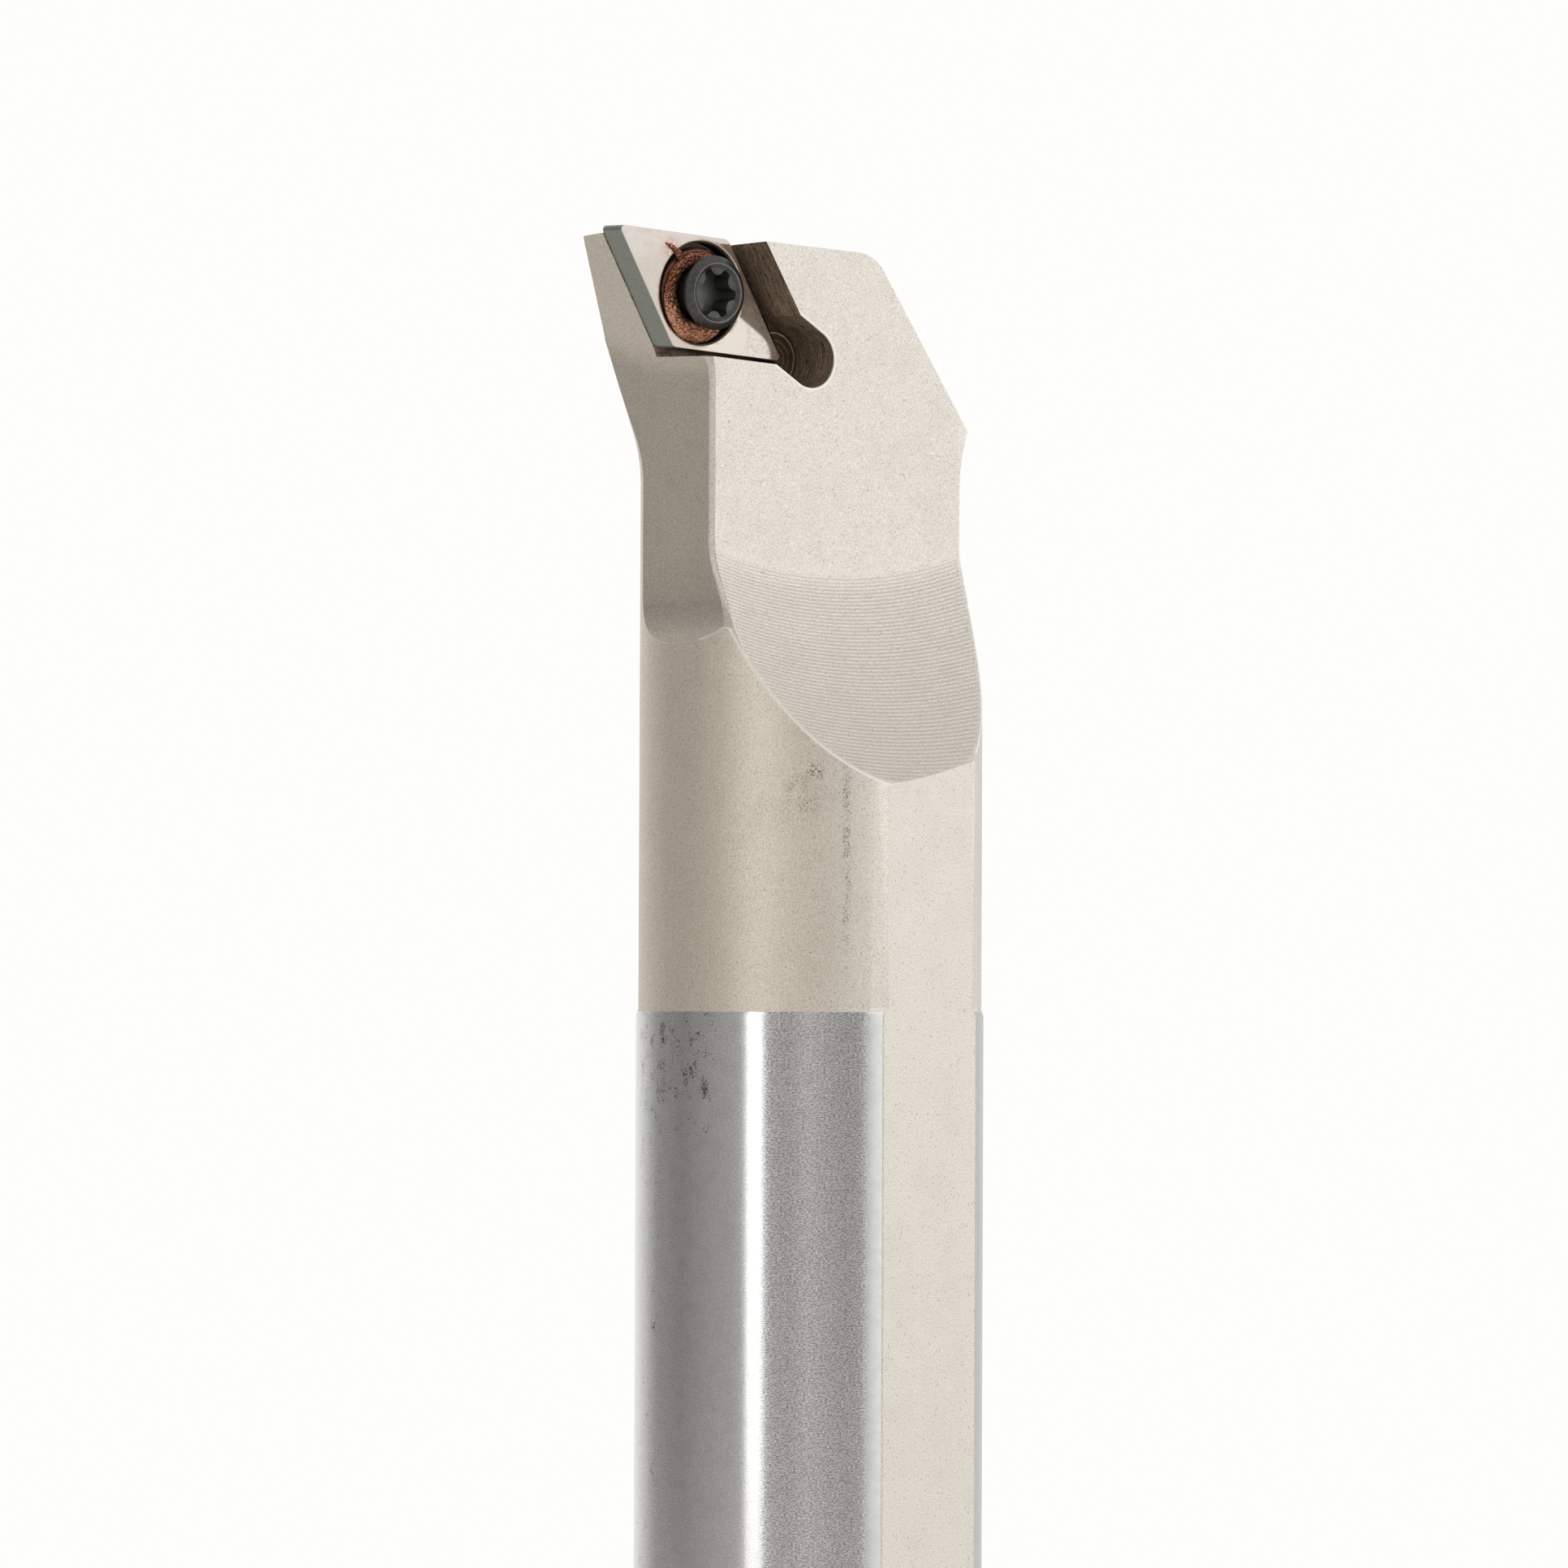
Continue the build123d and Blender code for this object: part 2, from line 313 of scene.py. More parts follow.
# The rings of the slot's cutter: inner radius, outer radius, softness and strength
CUTTER_RINGS = [(2.02, 2.12, 0.05, 1.0), (1.5, 1.56, 0.06, 0.5), (1.08, 1.13, 0.05, 0.5)]
SLOT_RIM_WIDTH = 0.21


def slot_masks(t, p):
    """The relief slot, the faint rings that its cutter left on its floor, and a band on the face round its
    rim that is painted lighter as a worn edge and a painted highlight.
    """
    on_slot = t.along(p.on_seat, (cos(SLOT_TURN), sin(SLOT_TURN), 0))
    off_slot = t.along(p.on_seat, (-sin(SLOT_TURN), cos(SLOT_TURN), 0))
    past_end = t.minus(on_slot, RELIEF_REACH)
    from_middle = t.length(t.most(past_end, 0.0), off_slot)
    inside = t.times(t.below(from_middle, RELIEF_RADIUS + 0.04), t.above(on_slot, 0.0))

    from_end = t.plus(t.length(past_end, off_slot), t.times(t.noise(p.at, 1.2), 0.3))
    rings = t.most(*(
        t.times(t.within(from_end, inner, outer, softness), strength)
        for inner, outer, softness, strength in CUTTER_RINGS
    ))
    rings = t.times(rings, t.above(t.noise(p.at, 0.9), 0.4, 0.15), t.below(p.sz, -0.55))

    on_face = t.times(t.above(p.h, FACE_HEIGHT - 0.02), t.above(on_slot, RELIEF_REACH - 4.0, 1.0))
    rim = t.times(t.within(from_middle, RELIEF_RADIUS, RELIEF_RADIUS + SLOT_RIM_WIDTH, 0.05), on_face)
    return inside, rings, rim


# Where painted light and shade fall on the nickel. A height is from the gauge line and an azimuth is in
# degrees.
WARM_LIGHT_AZIMUTH = -38.0
LIT_AZIMUTH = -41.0
FLARE_AZIMUTH = -80.0
FLARE_HEIGHT = -12.0
WALL_PAST_NECK = -24.0  # above this the wall under the cutting edge stands outside the neck's radius
# painted shade on the wall deepens below this height
WALL_SHADE_DEEPENS = -25.0
RUN_OUT_HEIGHT = -26.0

# Dark marks on the neck: azimuth from, to and softness; height up the bar from, to and softness; strength
NECK_MARKS = {
    "trail": (-37.4, -35.0, 1.2, 148.5, 161.5, 5.0, 0.75),
    "dots": (-49.5, -44.0, 2.0, 160.3, 161.3, 0.5, 1.0),
    "smudge": (-56.0, -45.5, 5.0, 157.8, 160.6, 1.2, 0.55),
    "haze": (-68.0, -55.0, 9.0, 157.0, 159.0, 1.6, 0.3),
}


def nickel_painted_light(t, p):
    """Painted light and shade on the nickel: warm painted light on the cutting side, painted shade on the
    wall and flare, painted light beside the flat.
    """
    outer = t.most(t.below(p.h, FACE_HEIGHT - 0.5), t.above(p.radius, SHANK_RADIUS - 0.3))
    # Painted warm light: the cutting side is drawn warmer.
    warm_light = t.times(outer, p.off_flat, t.below(p.azimuth, WARM_LIGHT_AZIMUTH, 36.0))
    colour = t.blend(warm_light, NICKEL, NICKEL_WARM_LIGHT)

    cut_back = t.most(t.below(p.radius, NECK_RADIUS - 0.03, 0.02), t.above(p.v, WALL_PAST_NECK, 4.0))
    cut_back = t.times(cut_back, t.below(p.u, -WALL_REACH + 0.1))
    run_out = t.times(cut_back, t.below(p.u, -WALL_REACH - 0.01, 0.03), t.below(p.v, RUN_OUT_HEIGHT, 0.5))
    on_wall = t.most(t.times(cut_back, t.above(p.u, -WALL_REACH - 0.15)), run_out)
    # Painted shade: the wall under the cutting edge is drawn darker, more so lower down and on its run-out,
    # and the flare behind the corner darker too.
    wall_shade = t.most(t.pick(t.below(p.v, WALL_SHADE_DEEPENS, 6.0), 0.3, 0.62), t.times(run_out, 0.77))
    behind_corner = t.below(p.azimuth, FLARE_AZIMUTH, 20.0)
    flare_shade = t.times(t.above(p.v, FLARE_HEIGHT, 10.0), behind_corner, outer, 0.42)
    colour = t.blend(t.most(t.times(on_wall, wall_shade), flare_shade), colour, NICKEL_DARK_AND_SHADE)

    # Painted light: the side beside the flat is drawn paler.
    lit_beside_flat = t.above(p.azimuth, LIT_AZIMUTH, 14.0)
    return t.tint(colour, NICKEL_LIT, 0.65, outer, p.off_flat, lit_beside_flat)


def neck_soil(t, p):
    """A dark broken trail down the neck, and smudges and a few dots under the scoop."""
    marks = []
    for a_from, a_to, a_softness, z_from, z_to, z_softness, strength in NECK_MARKS.values():
        across = t.within(p.azimuth, a_from, a_to, a_softness)
        marks.append(t.times(across, t.within(p.z, z_from, z_to, z_softness), strength))
    dabs = t.above(t.noise(p.at, 0.15, 3.0, 0.6), 0.54, 0.16)
    clumps = t.above(t.noise(p.at, 1.0, 4.0, 0.7, (1.0, 1.0, 0.8)), 0.48, 0.14)
    return t.times(t.most(*marks), dabs, clumps, t.above(p.radius, SHANK_RADIUS - 0.3), p.off_flat)


def nickel_look(t, p, scoop, line):
    """Colour and height of the blasted nickel, with painted light and shade, its specks, stains and milled
    scoop.
    """
    grain = t.noise(p.at, 0.1, 3.0, 0.7)
    fine = t.noise(p.at, 0.17)
    cloud = t.noise(p.at, 2.6, 4.0, 0.6)
    turned = t.noise(t.join(0.0, 0.0, p.z), 0.12)
    colour = nickel_painted_light(t, p)
    colour = t.tint(colour, NICKEL_DARK_AND_SHADE, 0.42, t.below(grain, 0.46, 0.14))
    colour = t.tint(colour, NICKEL_GLINT, 0.5, t.above(grain, 0.55, 0.12))
    colour = t.tint(colour, NICKEL_DARK_AND_SHADE, 0.09, t.below(cloud, 0.45, 0.3))
    colour = t.tint(colour, NICKEL_DARK_AND_SHADE, 0.85, t.above(fine, 0.675, 0.05))
    colour = t.tint(colour, NICKEL_DARK_AND_SHADE, 0.36, scoop, t.above(line, 0.15, 1.3))
    colour = t.tint(colour, STAIN, 0.8, neck_soil(t, p))
    height = t.plus(t.times(grain, 0.75), t.times(turned, 0.18), t.times(line, scoop, 1.1))
    return colour, height


# The ground shank round its axis, in degrees: from, to and softness
WORN_FRONT = (-64.0, -29.0, 5.0)
CLEAN_STRIP = (-30.0, -20.0, 2.0)
WORN_LEFT = (-94.0, 14.0)  # from this azimuth on to the left, and softness
PITTED = (-126.0, -80.0, 8.0)
THINLY_PITTED = (-126.0, -106.0, 8.0)
PITS_FROM = (134.5, 9.0)  # height up the bar, and softness


def pit_mask(t, p):
    """Rust pits, thick near the shoulder on the cutting side and thin further down."""
    thick = t.times(t.within(p.azimuth, *PITTED), t.above(p.z, *PITS_FROM))
    thin = t.times(t.within(p.azimuth, *THINLY_PITTED), 0.55)
    where = t.most(thick, thin)
    specks = t.noise(p.around, 0.12, 3.0, 0.7)
    clumps = t.noise(p.around, 0.9, 3.0, 0.65, (1.0, 0.7, 1.0))
    level = t.plus(t.times(specks, 0.62), t.times(clumps, 0.5), t.times(where, 0.105))
    shade = t.pick(t.below(p.azimuth, -112.0, 6.0), 1.0, 0.5)
    pits = t.times(t.above(level, 0.74, 0.014), t.above(where, 0.15, 0.2), shade)
    few = t.times(t.above(t.noise(p.around, 0.3, 3.0, 0.6), 0.765, 0.02), 0.5)
    return t.most(pits, few)


def ground_look(t, p):
    """Colour, roughness and height of the ground shank, with short streaks round it and pits on one side."""
    streak = t.noise(p.around, 0.085, 3.0, 0.65, (0.5, 1.0, 1.0))
    hair = t.noise(p.around, 0.06, 2.0, 0.6, (0.1, 1.0, 1.0))
    mottle = t.noise(p.around, 0.9, 4.0, 0.65, (0.8, 1.0, 1.0))
    front = t.within(p.azimuth, *WORN_FRONT)
    left = t.times(t.below(p.azimuth, *WORN_LEFT), 0.45)
    clean = t.within(p.azimuth, *CLEAN_STRIP)
    worn = t.most(front, left, t.pick(clean, 0.3, 0.06))
    colour = t.tint(GROUND, GROUND_DARK, 0.9, t.below(streak, 0.49, 0.18), worn)
    colour = t.tint(colour, GROUND_BRIGHT, 0.9, t.above(streak, 0.53, 0.18), worn)
    colour = t.tint(colour, GROUND_DARK, 0.12, t.above(mottle, 0.52, 0.2))
    colour = t.tint(colour, GROUND_BRIGHT, 0.35, t.above(hair, 0.6, 0.1), worn)

    pits = pit_mask(t, p)
    colour = t.tint(colour, STAIN, 0.9, pits)
    rough = t.pick(pits, t.pick(streak, 0.11, 0.21), 0.6)
    height = t.times(t.plus(t.times(streak, 0.11), t.times(hair, 0.05)), t.pick(clean, 1.0, 0.3))
    return colour, rough, t.minus(height, t.times(pits, 0.5))


def pocket_look(t, p, in_slot, rings):
    """Colour of the pocket's cut walls, with painted shade deep in the slot."""
    grind = t.noise(t.join(t.times(p.sx, 0.1), t.times(p.sy, 0.1), p.sz), 0.13, 4.0, 0.7)
    speckle = t.noise(p.at, 0.16, 3.0, 0.7)
    colour = t.blend(t.below(grind, 0.5, 0.3), POCKET, POCKET_DARK)
    colour = t.tint(colour, POCKET_SPECKLE, 0.35, t.above(speckle, 0.54, 0.15))
    # Painted shade: the slot is drawn dark below 0.6 mm under the shim's top.
    colour = t.tint(colour, SLOT_FLOOR_SHADE, 0.85, in_slot, t.below(p.sz, -0.6, 0.1))
    return t.blend(t.times(rings, in_slot), colour, POCKET_LINE)


def bar_material():
    """Blasted nickel over the neck and head with painted light and shade, a ground shank, a milled scoop, a
    darker pocket with painted shade in its slot, and edges painted lighter as wear and painted highlight.
    """
    t = Tree("bar_finish")
    p = Place(t)
    edge = t.broken_edge()
    on_shank = t.above(p.radius, SHANK_RADIUS - 0.1)
    ground = t.times(on_shank, p.off_flat, t.within(p.z, GROUND_FROM, GROUND_TO, 0.05))
    from_cutter = t.length(p.u, t.minus(p.v, SCOOP_CENTRE))
    scoop = t.times(
        t.above(from_cutter, SCOOP_RADIUS - 0.3, 0.3),
        t.above(p.h, FACE_HEIGHT + 0.004, 0.004),
        t.below(p.radius, SHANK_RADIUS - 0.45),
        p.off_flat,
        t.above(p.u, -WALL_REACH + 0.2),
    )
    line = t.math("SINE", t.times(from_cutter, 2 * pi / MILLED_PITCH))
    in_slot, rings, slot_rim_wear_and_highlight = slot_masks(t, p)
    corner = radians(INSERT_ANGLE)
    to_right_wall = t.along(p.on_seat, (sin(corner), cos(corner), 0))
    in_pocket = t.times(
        t.above(p.sy, -POCKET_INRADIUS - 0.05), t.below(to_right_wall, POCKET_INRADIUS + 0.05)
    )
    pocket = t.times(
        t.most(in_slot, in_pocket),
        t.above(p.sz, SEAT_FLOOR - 0.06),
        t.below(p.h, FACE_HEIGHT - 0.02),
        t.minus(1.0, edge),
    )

    nickel, nickel_height = nickel_look(t, p, scoop, line)
    steel, steel_rough, steel_height = ground_look(t, p)
    # Broken edges and the slot's rim band are painted lighter: worn, deburred metal and a painted highlight.
    colour = t.tint(t.blend(ground, nickel, steel), NICKEL_EDGE_WEAR_AND_HIGHLIGHT, 0.75, t.most(edge, slot_rim_wear_and_highlight))
    colour = t.blend(pocket, colour, pocket_look(t, p, in_slot, rings))
    return t.shader(
        Base_Color=colour,
        Metallic=t.pick(pocket, 1.0, 0.45),
        Roughness=t.pick(pocket, t.pick(ground, 0.47, steel_rough), 0.52),
        Normal=t.bump(t.pick(ground, nickel_height, steel_height), 7.0),
    )


# Directions across the seat, as the photo shows it, and the middle of the paste's smear on the shim
# The first direction points to the bright patch painted on the shim's top as a reflection.
TO_PAINTED_REFLECTION = (0.42, -0.91, 0.0)
TO_FAR_EDGE = (-0.25, 0.97, 0.0)
DOWN_LEFT = (-0.3, -0.954, 0.0)
SMEAR = (-3.05, 2.95)


def shim_smear(t, p, patches):
    """Where copper paste lies on the shim: beside the strand and on the rim of the hole."""
    from_smear = t.length(t.minus(p.sx, SMEAR[0]), t.minus(p.sy, SMEAR[1]))
    dabs = t.above(t.noise(p.at, 0.2, 4.0, 0.7), 0.5, 0.12)
    smear = t.times(t.below(from_smear, 0.75, 0.9), dabs, 0.8)
    below_hole = t.above(t.along(p.on_seat, DOWN_LEFT), 3.3, 0.3)
    on_rim = t.most(t.above(patches, 0.5, 0.1), below_hole)
    return t.most(smear, t.times(t.below(p.from_screw, COUNTERBORE_RADIUS + 0.22, 0.3), on_rim))


def shim_material():
    """Carbide: a ground top with a pink-grey cast and a painted reflection, dark green-grey sides, painted
    shade in its hole, a painted highlight on its broken edges and a little copper paste.
    """
    t = Tree("shim_finish")
    p = Place(t)
    top = t.above(p.sz, -0.035, 0.03)
    patches = t.noise(p.at, 0.5, 3.0, 0.6)
    scratch = t.noise(p.on_seat, 0.08, 2.0, 0.6, (0.15, 1.0, 1.0))
    grain = t.noise(p.at, 0.07, 3.0, 0.7)
    face = t.tint(CARBIDE_TOP, CARBIDE_TOP_DARK, 0.35, patches)
    painted_reflection = t.above(t.along(p.on_seat, TO_PAINTED_REFLECTION), 2.2, 1.2)
    # Painted reflection: a bright patch on the top towards its lower right.
    face = t.tint(face, CARBIDE_PAINTED_HIGHLIGHT, 0.85, painted_reflection, t.above(p.sx, 0.2, 1.4))
    face = t.tint(face, CARBIDE_SCRATCH, 0.3, t.above(scratch, 0.6, 0.1))
    far_edge = t.above(t.along(p.on_seat, TO_FAR_EDGE), 3.5, 1.4)
    cloud = t.above(t.noise(p.on_seat, 0.7, 4.0, 0.65, (0.5, 1.0, 1.0)), 0.42, 0.3)
    face = t.tint(face, CARBIDE_CLOUD, 0.27, far_edge, cloud)
    soil = t.above(t.noise(p.at, 0.3, 4.0, 0.7), 0.54, 0.12)
    inner_corner = t.above(p.sx, 4.3, 1.8)
    face = t.tint(face, CARBIDE_SOIL, 0.26, soil, inner_corner)
    smear = shim_smear(t, p, patches)
    face = t.tint(face, t.blend(grain, COPPER, COPPER_BRIGHT), 0.75, smear)

    side = t.blend(t.above(grain, 0.55, 0.2), CARBIDE_SIDE, CARBIDE_SIDE_GRAIN)
    # Painted shade: the wall of the hole is drawn dark.
    shaded_hole = t.times(t.below(p.from_screw, COUNTERBORE_RADIUS + 0.05, 0.04), t.below(p.sz, -0.1))
    side = t.blend(shaded_hole, side, t.blend(patches, HOLE_SHADE_DEEP, HOLE_SHADE_PALE))
    # Painted highlight: the broken edges are drawn pale.
    colour = t.tint(t.blend(top, side, face), CARBIDE_PAINTED_HIGHLIGHT, 0.6, t.broken_edge())
    polish = t.pick(smear, t.pick(patches, 0.05, 0.12), 0.5)
    relief = t.times(t.plus(grain, t.times(scratch, 0.5)), t.pick(top, 1.0, 0.12))
    return t.shader(
        Base_Color=colour,
        Metallic=t.pick(top, 1.0, 0.8),
        Roughness=t.pick(top, 0.46, polish),
        Normal=t.bump(relief, 4.0),
    )


def bush_material():
    """Dark machined steel under a film of copper paste."""
    t = Tree("bush_finish")
    p = Place(t)
    film = t.above(t.noise(p.at, 0.5, 4.0, 0.6), 0.45, 0.2)
    grain = t.noise(p.at, 0.07, 3.0, 0.7)
    return t.shader(
        Base_Color=t.tint(BUSH, t.blend(grain, COPPER_DARK_AND_SHADE, COPPER_FILM), 0.7, film),
        Metallic=0.95,
        Roughness=t.pick(film, 0.34, 0.5),
        Normal=t.bump(grain, 6.0),
    )


def screw_material():
    """Black oxide, worn a little in the socket and on the rims."""
    t = Tree("screw_finish")
    p = Place(t)
    wear = t.noise(p.at, 0.35, 4.0, 0.65)
    grain = t.noise(p.at, 0.06, 3.0, 0.6)
    colour = t.tint(BLACK, BLACK_WORN, 0.35, t.above(wear, 0.5, 0.25))
    colour = t.tint(colour, BLACK_GRAIN, 0.3, grain)
    in_socket = t.times(t.below(p.from_screw, SOCKET_RADIUS + 0.06, 0.1), t.below(p.sz, SOCKET_TOP))
    colour = t.tint(colour, BLACK_WORN, 0.6, in_socket)
    dish_rim = t.within(p.from_screw, SCREW_DISH_RADIUS - 0.03, SCREW_DISH_RADIUS + 0.03, 0.04)
    dish_rim = t.times(dish_rim, t.above(p.sz, SOCKET_TOP), t.pick(wear, 0.2, 0.9))
    colour = t.blend(dish_rim, colour, BLACK_EDGE)
    colour = t.blend(t.times(t.broken_edge(), t.pick(wear, 0.1, 0.7)), colour, BLACK_EDGE)
    return t.shader(
        Base_Color=colour,
        Metallic=0.9,
        Roughness=t.pick(wear, 0.3, 0.48),
        Normal=t.bump(grain, 4.0),
    )


TO_HEAVY_SIDE = (-0.35, -0.94, 0.0)
GREASE_SHADE_RIM = 2.97  # painted shade: the ring is darker outside this radius, away from its heavy side


def grease_material():
    """Copper anti-seize paste: dark in its hollows, with bright metal flecks, painted light on its heavy
    lower side and painted shade on its outer rim.
    """
    t = Tree("grease_finish")
    p = Place(t)
    lumps = t.noise(p.at, 0.26, 4.0, 0.7)
    flecks = t.noise(p.at, 0.095, 3.0, 0.75)
    colour = t.blend(t.above(lumps, 0.5, 0.2), COPPER_DARK_AND_SHADE, COPPER)
    # Painted light: the flecks are brighter on the heavy lower side.
    low = t.above(t.along(p.on_seat, TO_HEAVY_SIDE), 1.6, 2.6)
    lit_flecks = t.plus(flecks, t.pick(low, -0.03, 0.07))
    colour = t.blend(t.above(lit_flecks, 0.54, 0.05), colour, COPPER_BRIGHT)
    colour = t.tint(colour, COPPER_HOLLOW, 0.7, t.below(flecks, 0.42, 0.08))
    # Painted shade: the outer rim of the ring, away from its heavy side, is drawn dark.
    outer_rim_shade = t.times(t.above(p.from_screw, GREASE_SHADE_RIM, 0.3), t.minus(1.0, low))
    colour = t.tint(colour, COPPER_DARK_AND_SHADE, 0.75, outer_rim_shade, t.below(p.sz, 0.0, 0.1))
    return t.shader(
        Base_Color=colour,
        Metallic=0.85,
        Roughness=t.pick(flecks, 0.6, 0.22),
        Normal=t.bump(flecks, 45.0),
    )


# ---------------------------------------------------------------- the CAD nodes with their edges broken
# Widths in millimetres
SHARP = radians(24.0)
FLAT_ENOUGH = radians(0.2)
SAME_POINT = 1e-7  # metres
BAR_EDGE = 0.1
WIDE_EDGE = 0.2
SHIM_EDGE = 0.06
BUSH_EDGE = 0.05
SCREW_EDGE = 0.07
SHORTEST = 0.001  # shorter edges are dissolved before the sharp ones are broken
BAR_SHORTEST = 0.065


def new_object(name, data):
    made = bpy.data.objects.new(name, data)
    bpy.context.scene.collection.objects.link(made)
    return made


def to_mesh(form, name):
    mesh = bpy.data.meshes.new(name)
    form.to_mesh(mesh)
    form.free()
    return mesh


def on_wide_rim(edge):
    """True for the edge between the scoop and the round neck, and for the rim of the relief slot."""
    middle = (edge.verts[0].co + edge.verts[1].co) / 2 / MM
    from_head = middle - HEAD_ORIGIN
    out_of_face = from_head.dot(HEAD_Z) - FACE_HEIGHT
    on_neck = abs(hypot(middle.x, middle.y) - NECK_RADIUS) < 0.06 and middle.y > -FLAT_HEIGHT + 0.2
    scoop_rim = on_neck and out_of_face > 0.2 and from_head.z < SCOOP_RIM_TOP
    from_seat = middle - SEAT_ORIGIN
    x, y = from_seat.dot(SEAT_X), from_seat.dot(SEAT_Y)
    on_slot = x * cos(SLOT_TURN) + y * sin(SLOT_TURN)
    off_slot = y * cos(SLOT_TURN) - x * sin(SLOT_TURN)
    near = hypot(max(on_slot - RELIEF_REACH, 0), off_slot) < RELIEF_RADIUS + 0.1
    slot_rim_wear_and_highlight = near and on_slot > 0 and abs(out_of_face) < 0.03
    return scoop_rim or slot_rim_wear_and_highlight


def bevel(form, edges, width, segments):
    """Breaks these edges and marks the new faces."""
    mark = form.faces.layers.float[EDGE_MARK]
    made = bmesh.ops.bevel(
        form, geom=edges, offset=width * MM, segments=segments, profile=0.5,
        affect="EDGES", clamp_overlap=True,
    )
    for face in made["faces"]:
        longest = max(side.calc_length() for side in face.edges)
        if face.calc_area() < 2 * width * MM * longest:
            face[mark] = 1.0


def broken_edges(node, width, wide=None, wide_width=0.0, shortest=SHORTEST):
    """A copy of a CAD node with its sharp edges broken, which then stands for the node."""
    source = frame["nodes"][node]
    form = bmesh.new()
    form.from_mesh(source.data)
    form.faces.layers.float.new(EDGE_MARK)
    bmesh.ops.remove_doubles(form, verts=form.verts, dist=SAME_POINT)
    bmesh.ops.dissolve_limit(form, angle_limit=FLAT_ENOUGH, verts=form.verts, edges=form.edges)
    bmesh.ops.dissolve_degenerate(form, dist=shortest * MM, edges=form.edges)
    if wide:
        rims = [e for e in form.edges if e.calc_face_angle() > SHARP and wide(e)]
        bevel(form, rims, wide_width, segments=3)
    sharp = [e for e in form.edges if len(e.link_faces) == 2 and e.calc_face_angle() > SHARP]
    bevel(form, sharp, width, segments=2)
    return dressed(form, node)


def dressed(form, name):
    """Finishes a form as a smooth piece that stands for a CAD node."""
    for face in form.faces:
        face.smooth = True
    mesh = to_mesh(form, name + "_shape")
    if "custom_normal" in mesh.attributes:
        mesh.attributes.remove(mesh.attributes["custom_normal"])
    piece = new_object(name + "_dressed", mesh)
    shade = piece.modifiers.new("even_shading", "WEIGHTED_NORMAL")
    shade.weight = 100
    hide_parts(name)
    return piece


def give(piece, material, body):
    piece.data.materials.clear()
    piece.data.materials.append(material)
    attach(piece, body)


# ---------------------------------------------------------------- the copper paste, in the seat's millimetres
GREASE_INNER = 2.1
GREASE_MIDDLE = 3.0  # where its two rims read their lumps
GREASE_OUTER = 3.06
GREASE_BASE = -0.27
GREASE_HEIGHT = 0.24
GREASE_THINNEST = 0.03
GREASE_ROUNDNESS = 0.55  # of its section: 1 is a sine's arch, and less is fuller
HEAVY_SIDE = radians(-107)
HEAVY_WIDTH = 0.56  # what the heavy side adds
HEAVY_HEIGHT = 0.2
# The paste's lumps: height, size and seed
GREASE_LUMPS = [(0.15, 0.5, 1), (0.13, 0.2, 5), (0.08, 0.1, 9)]
INNER_RIM_LUMPS = (0.16, 1.1, 7)
OUTER_RIM_LUMPS = (0.1, 0.6, 3)
STRAND_LUMPS = (0.5, 0.16, 2)  # the height is a share of the strand's thickness
RING_STEPS, RING_STEPS_ACROSS = 340, 26

STRAND_ROUTE = [
    (-1.95, 2.3, -0.12), (-2.3, 2.62, 0.02), (-2.71, 2.88, 0.1), (-3.18, 3.1, 0.06), (-3.6, 3.22, 0.03),
]
STRAND_THICKNESS = [0.32, 0.28, 0.19, 0.13, 0.05]
STRAND_FLATNESS = 0.55
STRAND_STEPS, STRAND_STEPS_AROUND = 14, 18


def lump(x, y, height, size, seed):
    """Smooth noise at a place in millimetres, up to that height above and below zero."""
    return height * noise.noise(Vector((x / size + seed, y / size, 0)))


def soft_skin(name, rows, closed):
    """A closed skin through rings of points, joined end to end or capped."""
    form = bmesh.new()
    rings = [[form.verts.new(point) for point in row] for row in rows]
    for i in range(len(rings) - (0 if closed else 1)):
        one, two = rings[i], rings[(i + 1) % len(rings)]
        for j in range(len(one)):
            k = (j + 1) % len(one)
            form.faces.new((one[j], one[k], two[k], two[j]))
    if not closed:
        form.faces.new(rings[0])
        form.faces.new(rings[-1])
    bmesh.ops.recalc_face_normals(form, faces=form.faces)
    for face in form.faces:
        face.smooth = True
    return new_object(name, to_mesh(form, name + "_shape"))


def grease_ring():
    """A lumpy ring of paste on the bush's flange, thickest on the lower left."""
    rows = []
    for i in range(RING_STEPS):
        a = 2 * pi * i / RING_STEPS
        at_rim = (GREASE_MIDDLE * cos(a), GREASE_MIDDLE * sin(a))
        heavy = (0.5 + 0.5 * cos(a - HEAVY_SIDE)) ** 3
        inner = GREASE_INNER + lump(*at_rim, *INNER_RIM_LUMPS)
        outer = GREASE_OUTER + HEAVY_WIDTH * heavy + lump(*at_rim, *OUTER_RIM_LUMPS)
        row = []
        for j in range(RING_STEPS_ACROSS + 1):
            share = j / RING_STEPS_ACROSS
            r = inner + (outer - inner) * share
            x, y = cos(a) * r, sin(a) * r
            dome = sin(pi * share) ** GREASE_ROUNDNESS
            rise = GREASE_HEIGHT + HEAVY_HEIGHT * heavy + sum(lump(x, y, *which) for which in GREASE_LUMPS)
            row.append(seat_point(x, y, GREASE_BASE + dome * max(rise, GREASE_THINNEST)))
        middle = (inner + outer) / 2
        row.append(seat_point(cos(a) * middle, sin(a) * middle, GREASE_BASE))
        rows.append(row)
    return soft_skin("copper_grease", rows, closed=True)


